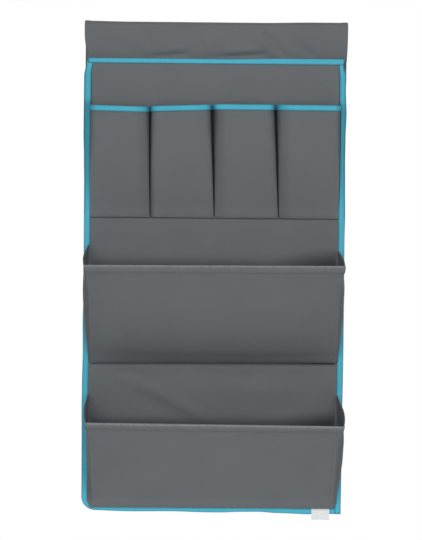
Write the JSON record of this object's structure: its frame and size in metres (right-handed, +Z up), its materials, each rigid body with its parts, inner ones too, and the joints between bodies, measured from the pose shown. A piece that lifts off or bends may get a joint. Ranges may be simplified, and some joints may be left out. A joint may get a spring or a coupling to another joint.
{
  "type": "hanging organizer",
  "caption": "Fabric organizer that hangs from a rail by a closing sleeve, with a row of small open pockets above large gusseted open pockets, edged in tape.",
  "frame": {"origin": "middle of the axis of the round rail that the sleeve hangs on", "axes": "+X along the rail to the viewer's right, +Y towards the wall behind, +Z up; the pockets face -Y"},
  "size_m": [0.501, 0.118, 0.9521],
  "materials": {
    "grey_polyester": "woven matt",
    "blue_tape": "ribbed tape",
    "grey_thread": "sewing thread",
    "blue_thread": "sewing thread",
    "black_nylon": "hook and loop",
    "clear_strip": "smooth strip",
    "white_label": "satin label"
  },
  "bodies": {
    "panel": {"back_panel": "grey_polyester", "sleeve_front": "grey_polyester", "loop_tape": "black_nylon", "top_binding": "blue_tape", "top_binding_stitching": "blue_thread", "right_binding": "blue_tape", "right_binding_stitching": "blue_thread", "left_and_bottom_binding": "blue_tape", "left_and_bottom_binding_stitching": "blue_thread", "divider_stitching_1": "blue_thread", "divider_stitching_2": "blue_thread", "divider_stitching_3": "blue_thread", "small_pockets_bottom_stitching": "blue_thread", "upper_pocket_bottom_stitching": "grey_thread", "pocket_1_left_wall": "grey_polyester", "pocket_1_right_wall": "grey_polyester", "pocket_2_left_wall": "grey_polyester", "pocket_2_right_wall": "grey_polyester", "pocket_3_left_wall": "grey_polyester", "pocket_3_right_wall": "grey_polyester", "pocket_4_left_wall": "grey_polyester", "pocket_4_right_wall": "grey_polyester", "upper_pocket_left_gusset": "grey_polyester", "upper_pocket_right_gusset": "grey_polyester", "lower_pocket_left_gusset": "grey_polyester", "lower_pocket_right_gusset": "grey_polyester"},
    "flap": {"sleeve_flap": "grey_polyester", "hook_tape": "black_nylon"},
    "pocket_1": {"pocket_1_front": "grey_polyester", "pocket_1_tape": "blue_tape", "pocket_1_tape_stitching": "blue_thread"},
    "pocket_2": {"pocket_2_front": "grey_polyester", "pocket_2_tape": "blue_tape", "pocket_2_tape_stitching": "blue_thread"},
    "pocket_3": {"pocket_3_front": "grey_polyester", "pocket_3_tape": "blue_tape", "pocket_3_tape_stitching": "blue_thread"},
    "pocket_4": {"pocket_4_front": "grey_polyester", "pocket_4_tape": "blue_tape", "pocket_4_tape_stitching": "blue_thread"},
    "upper_pocket": {"upper_pocket_front": "grey_polyester", "upper_pocket_hem": "grey_polyester", "upper_pocket_hem_stitching": "grey_thread", "upper_pocket_rim_strip": "clear_strip"},
    "lower_pocket": {"lower_pocket_front": "grey_polyester", "lower_pocket_hem": "grey_polyester", "lower_pocket_hem_stitching": "grey_thread", "lower_pocket_rim_strip": "clear_strip"},
    "label": {"care_label": "white_label"}
  },
  "joints": [
    {"name": "sleeve_flap_open", "type": "hinge", "parent": "panel", "child": "flap", "pos_m": [0, 0, 0.0124], "axis": [1, 0, 0], "range_deg": [0, 160]},
    {"name": "pocket_1_fold", "type": "hinge", "parent": "panel", "child": "pocket_1", "pos_m": [0, -0.0013, -0.3631], "axis": [-1, 0, 0], "range_deg": [0, 7.5], "deforming": ["pocket_1_left_wall", "pocket_1_right_wall"]},
    {"name": "pocket_2_fold", "type": "hinge", "parent": "panel", "child": "pocket_2", "pos_m": [0, -0.0013, -0.3631], "axis": [-1, 0, 0], "range_deg": [0, 7.5], "deforming": ["pocket_2_left_wall", "pocket_2_right_wall"]},
    {"name": "pocket_3_fold", "type": "hinge", "parent": "panel", "child": "pocket_3", "pos_m": [0, -0.0013, -0.3631], "axis": [-1, 0, 0], "range_deg": [0, 7.5], "deforming": ["pocket_3_left_wall", "pocket_3_right_wall"]},
    {"name": "pocket_4_fold", "type": "hinge", "parent": "panel", "child": "pocket_4", "pos_m": [0, -0.0013, -0.3631], "axis": [-1, 0, 0], "range_deg": [0, 7.5], "deforming": ["pocket_4_left_wall", "pocket_4_right_wall"]},
    {"name": "upper_pocket_fold", "type": "hinge", "parent": "panel", "child": "upper_pocket", "pos_m": [0, -0.0013, -0.644], "axis": [-1, 0, 0], "range_deg": [0, 25], "deforming": ["upper_pocket_left_gusset", "upper_pocket_right_gusset"]},
    {"name": "lower_pocket_fold", "type": "hinge", "parent": "panel", "child": "lower_pocket", "pos_m": [0, -0.0013, -0.9154], "axis": [-1, 0, 0], "range_deg": [0, 28.5], "deforming": ["lower_pocket_left_gusset", "lower_pocket_right_gusset"]},
    {"name": "care_label_lift", "type": "hinge", "parent": "panel", "child": "label", "pos_m": [0.2084, -0.002, -0.9191], "axis": [-1, 0, 0], "range_deg": [0, 80]}
  ]
}
